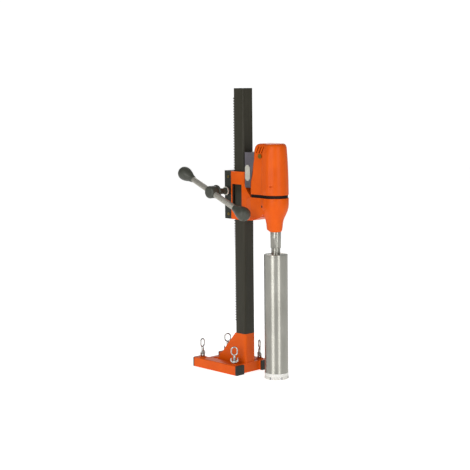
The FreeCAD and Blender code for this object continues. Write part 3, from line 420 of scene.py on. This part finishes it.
def yellow_zinc(tree):
    # Passivated zinc: brassy yellow with a cloudy tint.
    tint = noise(tree, 3.0, 3.0)
    return dict(Base_Color=ramp(tree, tint, [(0.3, "6E6038"), (0.6, "8C7B48"), (0.8, "7D6E4C")]),
                Metallic=0.9, Roughness=ramp(tree, tint, [(0.2, 0.25), (0.8, 0.4)]))


dress(("cover_bolts",), surface("yellow passivated zinc", yellow_zinc), 0.35)

# Pinion bushes and commutator: bushes of sintered bronze pressed into the
# casting's ears, dull with the oil in their pores; the commutator matches.
def bronze(tree):
    # Sintered bronze: warm metal, speckled by its pores, drawn at 0.6 mm where
    # real ones are far finer.
    pores = noise(tree, 0.6, 3.0)
    return dict(Base_Color=ramp(tree, pores, [(0.3, "8F6A3A"), (0.7, "A98048")]), Metallic=1.0,
                Roughness=ramp(tree, pores, [(0.2, 0.4), (0.8, 0.55)]))


sintered_bronze = surface("sintered bronze", bronze)
dress(("pinion_bushes", "commutator"), sintered_bronze, 0.2)

# Crank: plated ring on the cover's boss, black glass-filled hub with a long
# sleeve, a galvanised round bar pushed through it and two pear-shaped knobs.
def satin_zinc(tree):
    # Zinc plate: pale metal with a soft-edged shine.
    haze = noise(tree, 5.0, 3.0)
    return dict(Base_Color=ramp(tree, haze, [(0.3, "CFCCC0"), (0.7, "E2DFD4")]), Metallic=0.75,
                Roughness=ramp(tree, haze, [(0.2, 0.35), (0.8, 0.5)]))


crank_y, crank_z = 48.0, 651.0
flange = [(11.5, -42.0), (15.0, -42.0), (15.5, -42.5), (15.5, -45.3), (14.9, -46.0), (12.1, -46.0),
          (11.5, -45.5)]
ring = spin_hollow(flange, (0, crank_y, crank_z), 64, "X")
piece("flange_ring", *ring, surface("satin zinc plate", satin_zinc), "carriage", ("crank_ring",),
      "chromed_steel", 40)


def black_handle(tree):
    # Glass-filled moulding: dark olive grey with a satin sheen.
    patch = noise(tree, 20.0, 2.0)
    return dict(Base_Color=ramp(tree, patch, [(0.3, "303229"), (0.7, "3A3C33")]),
                Roughness=ramp(tree, patch, [(0.2, 0.42), (0.8, 0.52)]),
                Normal=bump(tree, noise(tree, 0.8, 2.0), 0.03, 0.6))


handle_black = surface("black handle moulding, satin", black_handle)
sleeve = [(9.0, -29.6), (10.3, -29.6), (10.5, -30.0), (10.5, -72.0), (11.4, -80.0), (14.0, -84.4),
          (18.0, -86.0), (23.2, -86.1), (24.0, -87.0), (24.0, -91.0), (23.2, -92.0), (20.4, -92.6),
          (20.0, -94.0), (21.0, -95.4), (21.8, -97.0), (22.0, -99.0), (22.0, -119.5), (21.4, -122.6),
          (19.8, -125.0), (17.0, -126.6), (14.0, -127.0), (9.0, -127.0)]
piece("hub_and_sleeve", *spin(sleeve, (0, crank_y, crank_z), 72, "X"), handle_black, "crank", ("crank_hub",),
      "black_plastic", 40)


def galvanised(tree):
    # Hot-dip zinc: mottled light grey, its flakes about 4 mm across.
    flake = noise(tree, 4.0, 4.0)
    return dict(Base_Color=ramp(tree, flake, [(0.3, "86837A"), (0.7, "ABA89E")]), Metallic=0.6,
                Roughness=ramp(tree, flake, [(0.2, 0.4), (0.8, 0.55)]),
                Normal=bump(tree, noise(tree, 1.0, 2.0), 0.02, 0.5))


lean = math.radians(22.6)
bar_offset = 111.0
along = Vector((0, math.cos(lean), math.sin(lean)))
centre = Vector((-bar_offset, crank_y, crank_z))
across = Vector((1, 0, 0))
rise = along.cross(across)


def on_bar(profile, sign, sides=48):
    """Rings of (radius, distance out from the hub) along the bar."""
    loops = []
    for r, d in profile:
        loops.append([centre + along * (sign * d) + across * (r * math.cos(2 * math.pi * j / sides))
                      + rise * (r * math.sin(2 * math.pi * j / sides)) for j in range(sides)])
    return skin(loops)


front_knob, rear_knob = 171.0, 151.0
bar_radius = 10.0
bar = on_bar([(bar_radius - 0.6, -front_knob - 3), (bar_radius, -front_knob - 2), (bar_radius, rear_knob + 2),
              (bar_radius - 0.6, rear_knob + 3)], 1)
piece("round_bar", *bar, surface("galvanised round bar", galvanised), "crank", ("crank_bar",),
      "handle_steel", 40)
pear = [(10.1, -47.0), (11.2, -47.0), (12.0, -46.4), (12.4, -45.0), (12.9, -42.0), (14.0, -37.5),
        (15.6, -32.0), (17.6, -26.5), (19.8, -21.0), (21.8, -15.0), (23.4, -8.5), (24.3, -2.0),
        (24.5, 2.0), (24.1, 6.5), (22.8, 11.3), (20.4, 15.8), (17.2, 19.4), (13.2, 22.0), (8.8, 23.6),
        (4.2, 24.3), (1.0, 24.4)]
pears = merged(on_bar([(r, rear_knob + d) for r, d in pear], 1, 64),
               on_bar([(r, front_knob + d) for r, d in pear], -1, 64))
piece("pear_knobs", *pears, handle_black, "crank", ("crank_knobs",), "black_plastic", 40)

# Bearing plate between gear case and motor: turned aluminium, anodised black
# and set back; its colour is darkened further as painted shade so that it shows as a dark seam.
# Four steel screws hold the motor cover down through it, dimmed with the same painted shade.
def black_with_seam_shade(tree):
    # Black anodising darkened with painted seam shade: too dark for a highlight, so it reads as a gap.
    return dict(Base_Color=ramp(tree, noise(tree, 12.0), [(0.3, "140D0A"), (0.7, "1E1410")]),
                Roughness=ramp(tree, noise(tree, 2.0), [(0.2, 0.55), (0.8, 0.7)]), Specular_IOR_Level=0.12)


black_plate_seam_shade = surface("black anodised plate with painted seam shade", black_with_seam_shade)
dress(("bearing_plate",), black_plate_seam_shade, 0.3)
screw_foot, screw_seat, screw_top = 623.0, 658.0, 662.0
shank, screw_head = 2.5, 3.4
screw = [(0.5, screw_foot), (shank, screw_foot), (shank, screw_seat), (screw_head, screw_seat),
         (screw_head, screw_top), (0.5, screw_top)]
pins = []
for half_span, y in ((35.0, -79.0), (37.5, -174.4)):
    for sign in (-1, 1):
        pins.append(spin(screw, (sign * half_span, y, 0), 24))
# The steel screws take the seam's painted shade in place of their own bright colour.
piece("blacked_cover_screws", *merged(*pins), black_plate_seam_shade, "carriage", ("motor_screws",),
      "plain_steel")

# Motor cover: glass-filled polyamide moulding in orange, tapered and domed,
# with slanted vents by the brushes and long shallow lines down the sides.
def moulded_orange(tree):
    # Moulded polyamide: smooth satin orange, finer than the coated metal.
    patch = noise(tree, 70.0, 2.0)
    return dict(Base_Color=ramp(tree, patch, [(0.3, "C64C03"), (0.7, "D05405")]),
                Roughness=ramp(tree, patch, [(0.2, 0.32), (0.8, 0.42)]),
                Specular_IOR_Level=0.14, Normal=bump(tree, noise(tree, 0.9, 2.0), 0.02, 0.5))


polyamide = surface("moulded polyamide, orange", moulded_orange)
bit_y = -156.4
motor_y = -122.0
nose_radius, cover_half, cover_rear = 46.0, 42.0, 70.0
# Height, share of the nose radius, and how far the sides and the back draw in.
levels = [(646.0, 0.985, 0.8, 0.8), (647.2, 1.0, 0.0, 0.0), (670.0, 0.995, 0.2, 0.2),
          (684.0, 0.992, 0.35, 0.4), (690.0, 0.99, 0.45, 1.2), (696.0, 0.987, 0.6, 2.8),
          (702.0, 0.984, 0.8, 4.9), (709.0, 0.979, 1.0, 6.9), (722.0, 0.97, 1.3, 9.0),
          (745.0, 0.95, 2.0, 11.0), (765.0, 0.93, 2.9, 12.2), (785.0, 0.905, 4.0, 13.4),
          (798.0, 0.885, 5.0, 15.0), (806.0, 0.868, 5.9, 16.6), (811.0, 0.85, 6.8, 18.4),
          (815.0, 0.823, 8.0, 20.6), (818.0, 0.785, 9.8, 23.6), (820.4, 0.735, 12.0, 27.0),
          (822.0, 0.66, 15.0, 31.5), (822.8, 0.57, 18.8, 37.0), (823.0, 0.45, 24.0, 44.0)]
panel_rear, panel_front, panel_proud = -133.5, -168.5, 1.5
panel_bottom, panel_top = 652.0, 806.0
rear_corner = 12.0


def at_height(level_z):
    """Share, tuck and back between the two nearest levels."""
    for i in range(len(levels) - 1):
        if levels[i][0] <= level_z <= levels[i + 1][0]:
            t = (level_z - levels[i][0]) / (levels[i + 1][0] - levels[i][0])
            return [a + (b - a) * t for a, b in zip(levels[i][1:], levels[i + 1][1:])]
    return list(levels[-1][1:])


def head_loop(z, share, tuck, back):
    """The cover's outline at z: round nose, straight sides, rounded rear corners."""
    radius = nose_radius * share
    side = cover_half - tuck
    rear = -(cover_rear + back)
    corner = min(rear_corner, side * 0.6)
    points = []
    for i in range(97):
        a = math.pi * i / 96
        points.append((radius * math.cos(a), bit_y - radius * math.sin(a)))
    for i in range(1, 28):
        t = i / 28
        y = bit_y + (rear - corner - bit_y) * t
        blend = min(1.0, t * 2.4)
        points.append((-(radius + (side - radius) * blend), y))
    for i in range(13):
        a = math.pi - math.pi / 2 * i / 12
        points.append((-side + corner + corner * math.cos(a), rear - corner + corner * math.sin(a)))
    for i in range(1, 16):
        points.append((-side + corner + 2 * (side - corner) * i / 16, rear))
    for i in range(13):
        a = math.pi / 2 - math.pi / 2 * i / 12
        points.append((side - corner + corner * math.cos(a), rear - corner + corner * math.sin(a)))
    for i in range(27, 0, -1):
        t = i / 28
        y = bit_y + (rear - corner - bit_y) * t
        blend = min(1.0, t * 2.4)
        points.append((radius + (side - radius) * blend, y))
    out = []
    for x, y in points:
        reach = min(1.0, max(0.0, (z - panel_bottom) / 6)) * min(1.0, max(0.0, (panel_top - z) / 14))
        along_panel = 1 + math.exp((y - panel_rear) / 0.7), 1 + math.exp((panel_front - y) / 0.7)
        lift = panel_proud * reach / along_panel[0] / along_panel[1]
        out.append((x + math.copysign(lift, x) if abs(x) > 15 else x, y, z))
    return out


heights = [646.0, 646.6, 647.2] + [650.0 + 3.5 * i for i in range(42)]
heights += [797.5, 801.0, 804.0, 806.0, 808.5, 811.0, 813.0, 815.0, 816.6, 818.0, 819.3, 820.4, 821.3,
            822.0, 822.5, 822.8, 823.0]
loops = [head_loop(h, *at_height(h)) for h in heights]
cover = piece("domed_motor_cover", *skin(loops), polyamide, "carriage", ("motor_cover",),
              "orange_cover", 50)


def shadow(tree):
    # Painted shade: dark inside, so the vents read as deep slits.
    return dict(Base_Color=ramp(tree, noise(tree, 8.0), [(0.3, "1C1410"), (0.7, "2A1D16")]), Roughness=0.8)


cut_painted_shade = surface("painted shade inside the cuts", shadow)


def cut_with(target, name, verts, faces):
    """Cut the form out of target for good; the cut faces take painted shade."""
    mesh = bpy.data.meshes.new(name)
    mesh.from_pydata([Vector(v) * MM for v in verts], [], faces)
    mesh.materials.append(cut_painted_shade)
    work = bmesh.new()
    work.from_mesh(mesh)
    bmesh.ops.recalc_face_normals(work, faces=work.faces)
    work.to_mesh(mesh)
    work.free()
    tool = bpy.data.objects.new(name, mesh)
    bpy.context.scene.collection.objects.link(tool)
    bpy.context.view_layer.update()
    mod = target.modifiers.new(name, "BOOLEAN")
    mod.operation = "DIFFERENCE"
    mod.object = tool
    mod.solver = "EXACT"
    dg = bpy.context.evaluated_depsgraph_get()
    made = bpy.data.meshes.new_from_object(target.evaluated_get(dg))
    target.modifiers.clear()
    target.data = made
    bpy.data.objects.remove(tool)
    made.shade_smooth()
    made.set_sharp_from_angle(angle=math.radians(40))


def slot_loops(x0, x1, y, z, half_wide, half_long, tilt):
    """A slot with round ends through x0 to x1, tilted in the side view."""
    loops = []
    c, s = math.cos(math.radians(tilt)), math.sin(math.radians(tilt))
    for x in (x0, x1):
        loop = []
        for i in range(20):
            a = 2 * math.pi * i / 20
            u = half_wide * math.cos(a)
            v = half_wide * math.sin(a) + math.copysign(half_long - half_wide, math.sin(a + 1e-6))
            loop.append((x, y + u * c - v * s, z + u * s + v * c))
        loops.append(loop)
    return skin(loops)


vent_z, vent_pitch, vent_tilt = 801.0, 12.5, 24.0
vent_half_wide, vent_half_long = 2.6, 13.0
well_y, well_z, well_radius = -79.0, 676.0, 3.4
notch_y, notch_z = -175.5, 676.5
slots = []
screw_wells = []
for sign in (-1, 1):
    for k in range(3):
        vent_y = motor_y + 15.0 - vent_pitch * k
        slots.append(slot_loops(sign * 26.0, sign * 46.0, vent_y, vent_z, vent_half_wide,
                                vent_half_long, vent_tilt))
    depth = sorted((sign * 39.6, sign * 44.0))
    screw_wells.append(spin([(well_radius, x) for x in depth], (0, well_y, well_z), 24, "X"))
    screw_wells.append(slot_loops(sign * 37.8, sign * 48.0, notch_y, notch_z, 1.7, 6.0, 90.0))
# Vents, screw wells and the notch are cut out; their walls carry painted shade.
cut_with(cover, "vents", *merged(*slots, *screw_wells))

# Brush caps: turned brass plugs screwed into the motor cover. Behind them
# sit the brushes, blocks of pressed carbon.
def brass(tree):
    # Tarnished brass: olive gold, patchy.
    tarnish = noise(tree, 3.0, 3.0)
    return dict(Base_Color=ramp(tree, tarnish, [(0.3, "6E5A24"), (0.7, "8C7430")]), Metallic=0.9,
                Roughness=ramp(tree, tarnish, [(0.2, 0.35), (0.8, 0.5)]))


dress(("brush_caps",), surface("tarnished brass", brass), 0.3)


def carbon(tree):
    # Pressed carbon: flat dark grey.
    return dict(Base_Color=ramp(tree, noise(tree, 0.8), [(0.3, "1E1E1F"), (0.7, "2A2A2B")]), Roughness=0.6)


dress(("brushes",), surface("pressed carbon", carbon))

# Stator and armature core: stacked electrical sheet, varnished. The fan on
# the same shaft is moulded in the black polymer.
def laminated(tree):
    # Stacked sheets: grey bands under varnish, each drawn as wide as two 0.5 mm
    # sheets so that it shows.
    sheets = noise(tree, 1.0, 1.0, (0.05, 0.05, 1))
    return dict(Base_Color=ramp(tree, sheets, [(0.4, "3A3A3C"), (0.6, "5A5A5C")]), Metallic=0.6,
                Roughness=ramp(tree, sheets, [(0.3, 0.4), (0.7, 0.6)]))


dress(("stator", "armature_core"), surface("varnished sheet stack", laminated))
dress(("fan",), black_plastic)

# Control box behind the motor: grey moulded housing with a pale blank rating
# plate, a red rocker on the far side and a rubber gland below.
def grey_grain(tree):
    # Moulded skin: cool mid grey, matt.
    patch = noise(tree, 30.0, 2.0)
    return dict(Base_Color=ramp(tree, patch, [(0.3, "4A464C"), (0.7, "57535A")]),
                Roughness=ramp(tree, patch, [(0.2, 0.42), (0.8, 0.55)]), Specular_IOR_Level=0.3,
                Normal=bump(tree, noise(tree, 0.8, 2.0), 0.03, 0.6))


dress(("control_box",), surface("grey moulded polymer, grained", grey_grain), 1.4, 3)


def plate_face(tree):
    # Printed plate: pale warm grey, slightly uneven.
    return dict(Base_Color=ramp(tree, noise(tree, 20.0, 3.0), [(0.3, "A09E93"), (0.7, "B4B2A7")]),
                Roughness=ramp(tree, noise(tree, 5.0), [(0.2, 0.35), (0.8, 0.5)]))


dress(("label_plate",), surface("pale printed plate, blank", plate_face), 0.2)


def red_gloss(tree):
    # Moulded rocker: deep red with a clear highlight.
    return dict(Base_Color=ramp(tree, noise(tree, 15.0), [(0.3, "8E1210"), (0.7, "A31613")]),
                Roughness=ramp(tree, noise(tree, 2.0), [(0.2, 0.25), (0.8, 0.35)]))


dress(("switch_rocker",), surface("red rocker polymer", red_gloss), 0.3)


def black_rubber(tree):
    # Rubber: black and matt.
    return dict(Base_Color=ramp(tree, noise(tree, 10.0), [(0.3, "1C1C1B"), (0.7, "272726")]),
                Roughness=ramp(tree, noise(tree, 1.5), [(0.2, 0.6), (0.8, 0.75)]))


rubber = surface("moulded black rubber", black_rubber)
dress(("cable_gland", "spindle_seal"), rubber, 0.4)

# Spindle and adapter: turned steel with two wrench flats each, linished like
# the bit that is screwed on below them.
def linished(tree):
    # Belt marks run round the tube, so light smears into upright streaks. The
    # marks are drawn at 0.7 mm, where real ones are about 0.1 mm.
    lines = noise(tree, 0.7, 3.0, (0.12, 0.12, 1.6))
    blotch = noise(tree, 45.0, 3.0, (1, 1, 0.5))
    around = add(tree, "ShaderNodeTangent", dict(direction_type="RADIAL", axis="Z")).outputs[0]
    return dict(Base_Color=ramp(tree, blotch, [(0.3, "B0AFA6"), (0.7, "BDBCB3")]), Metallic=1.0,
                Roughness=ramp(tree, lines, [(0.2, 0.38), (0.8, 0.46)]), Anisotropic=1.0,
                Anisotropic_Rotation=0.25, Tangent=around)


bit_steel = surface("linished steel tube", linished)
dress(("spindle", "bit_adapter"), bit_steel, 0.4)

# Core bit: rolled and welded steel barrel, linished round its length, with a
# closed lid, a heavier crown band and seven sintered segments brazed on.
def crown_steel(tree):
    # Dressed steel: frosted, paler than the tube above it.
    frost = noise(tree, 1.2, 3.0)
    return dict(Base_Color=ramp(tree, frost, [(0.3, "CFCEC8"), (0.7, "DEDDD8")]), Metallic=0.4,
                Roughness=ramp(tree, frost, [(0.2, 0.42), (0.8, 0.6)]), Normal=bump(tree, frost, 0.05, 0.5))


tube_bore, tube_radius, crown_radius = 38.9, 41.4, 42.1
segment_top, band_top, lid_under, bit_top = 10.0, 22.0, 433.0, 439.0
barrel = [(tube_bore, segment_top), (tube_bore, lid_under), (3.0, lid_under), (3.0, bit_top),
          (tube_radius - 1.0, bit_top), (tube_radius - 0.3, bit_top - 0.3), (tube_radius, bit_top - 1.0),
          (tube_radius, 432.6), (tube_radius - 0.25, 432.2), (tube_radius, 431.8),
          (tube_radius, band_top + 0.9), (tube_radius + 0.3, band_top + 0.4), (crown_radius, band_top),
          (crown_radius, segment_top + 0.4), (crown_radius - 0.3, segment_top)]
tube = piece("barrel_tube", *spin_hollow(barrel, (0, bit_y, 0), 144), bit_steel, "spindle_unit",
             ("core_barrel",), "bit_steel", 30).data
tube.materials.append(surface("frosted crown band", crown_steel))
# The bore and the slot walls between the segments take painted shade: dark where no light reaches inside the
# bit.
bore_painted_shade = surface("tube bore and slot walls, painted shade", painted_shade_dark)
tube.materials.append(bore_painted_shade)
for face in tube.polygons:
    radius = math.hypot(face.center.x, face.center.y - bit_y * MM) / MM
    height = face.center.z / MM
    if radius < tube_bore + 0.3 and height < lid_under + 0.5:
        face.material_index = 2
    elif height < band_top + 0.3:
        face.material_index = 1


def sintered(tree):
    # Sintered metal: pale, matt and gritty.
    grit = noise(tree, 0.8, 3.0)
    return dict(Base_Color=ramp(tree, grit, [(0.3, "C4C2BC"), (0.7, "D8D6D0")]), Metallic=0.5,
                Roughness=ramp(tree, grit, [(0.2, 0.4), (0.8, 0.6)]), Normal=bump(tree, grit, 0.15, 0.6))


crown_metal = surface("sintered diamond metal", sintered)
segment_bore, segment_mid = 38.1, 40.0
segment_count, slot_wide, first_middle = 7, 7.0, math.radians(-138.5)
section = [(segment_bore, segment_top), (segment_bore, 0.4), (segment_bore + 0.4, 0.0),
           (crown_radius - 0.4, 0.0), (crown_radius, 0.4), (crown_radius, segment_top)]
half = math.pi / segment_count - slot_wide / segment_mid / 2
segments = []
for k in range(segment_count):
    middle = first_middle + 2 * math.pi * k / segment_count
    loops = []
    for i in range(17):
        a = middle - half + 2 * half * i / 16
        loops.append([(r * math.cos(a), bit_y + r * math.sin(a), h) for r, h in section])
    segments.append(skin(loops))
crown = piece("diamond_segments", *merged(*segments), crown_metal, "spindle_unit", ("crown_segments",),
              "crown_metal", 35).data
crown.materials.append(bore_painted_shade)
# Inner faces and slot walls of the segments: painted shade.
for face in crown.polygons:
    radius = math.hypot(face.center.x, face.center.y - bit_y * MM) / MM
    slot_wall = abs(radius - segment_mid) < 1.0 and abs(face.normal.z) < 0.5
    if radius < segment_bore + 0.3 or slot_wall:
        face.material_index = 1

# Studio: pale floor, two tall soft boxes at the left and front, a rim lamp
# behind, and the camera at the left front.
def pale_floor(tree):
    # Studio floor: even and almost white, keeps a soft shadow.
    return dict(Base_Color=ramp(tree, noise(tree, 900.0, 2.0), [(0.3, "F6F6F6"), (0.7, "FAFAFA")]),
                Roughness=0.7, Emission_Color=(1.0, 1.0, 1.0, 1.0), Emission_Strength=0.68,
                Specular_IOR_Level=0.1)


# In metres, and half a millimetre below the feet, so that the two never flicker.
span = 9
floor_mesh = bpy.data.meshes.new("floor")
floor_mesh.from_pydata([(-span, -span, 0), (span, -span, 0), (span, span, 0), (-span, span, 0)],
                       [], [(0, 1, 2, 3)])
floor_mesh.materials.append(surface("pale studio floor", pale_floor))
floor = bpy.data.objects.new("floor", floor_mesh)
floor.location.z = -0.0005
bpy.context.scene.collection.objects.link(floor)

world = bpy.data.worlds.new("studio")
bpy.context.scene.world = world
world.use_nodes = True
sky = world.node_tree
sky.nodes.clear()
seen = add(sky, "ShaderNodeBackground", Color=(1.0, 1.0, 1.0, 1.0), Strength=1.05)
light = add(sky, "ShaderNodeBackground", Color=(1.0, 1.0, 1.0, 1.0), Strength=0.36)
ray = add(sky, "ShaderNodeLightPath")
both = add(sky, "ShaderNodeMixShader", Fac=ray.outputs["Is Camera Ray"])
sky.links.new(light.outputs[0], both.inputs[1])
sky.links.new(seen.outputs[0], both.inputs[2])
add(sky, "ShaderNodeOutputWorld", Surface=both.outputs[0])


def lamp(name, place, target, size, power):
    """A soft box at place, facing target; metres and watts."""
    data = bpy.data.lights.new(name, "AREA")
    data.shape = "RECTANGLE"
    data.size, data.size_y = size
    data.energy = power
    obj = bpy.data.objects.new(name, data)
    obj.location = place
    obj.rotation_euler = (Vector(target) - Vector(place)).to_track_quat("-Z", "Y").to_euler()
    bpy.context.scene.collection.objects.link(obj)


lamp("key", (-3.32, -0.80, 1.5), (0, -0.05, 0.5), (1.5, 2.4), 54)
lamp("fill", (-0.98, -3.41, 1.4), (0, -0.05, 0.5), (1.0, 2.4), 36)
lamp("rim", (2.0, 2.2, 2.2), (0, 0, 0.6), (1.2, 2.0), 20)

camera_data = bpy.data.cameras.new("camera")
camera_data.lens = 95.83
camera_data.sensor_width = 36.0
camera_data.clip_end = 100.0
camera = bpy.data.objects.new("camera", camera_data)
camera_place = (-3.0674, -3.1753, 1.0505)
camera_turn, camera_tilt, camera_roll = math.radians(-43.578), math.radians(82.805), math.radians(-0.603)
camera.matrix_world = (Matrix.Translation(camera_place) @ Matrix.Rotation(camera_turn, 4, "Z")
                       @ Matrix.Rotation(camera_tilt, 4, "X") @ Matrix.Rotation(camera_roll, 4, "Z"))
bpy.context.scene.collection.objects.link(camera)
bpy.context.scene.camera = camera
bpy.context.scene.view_settings.view_transform = "Standard"
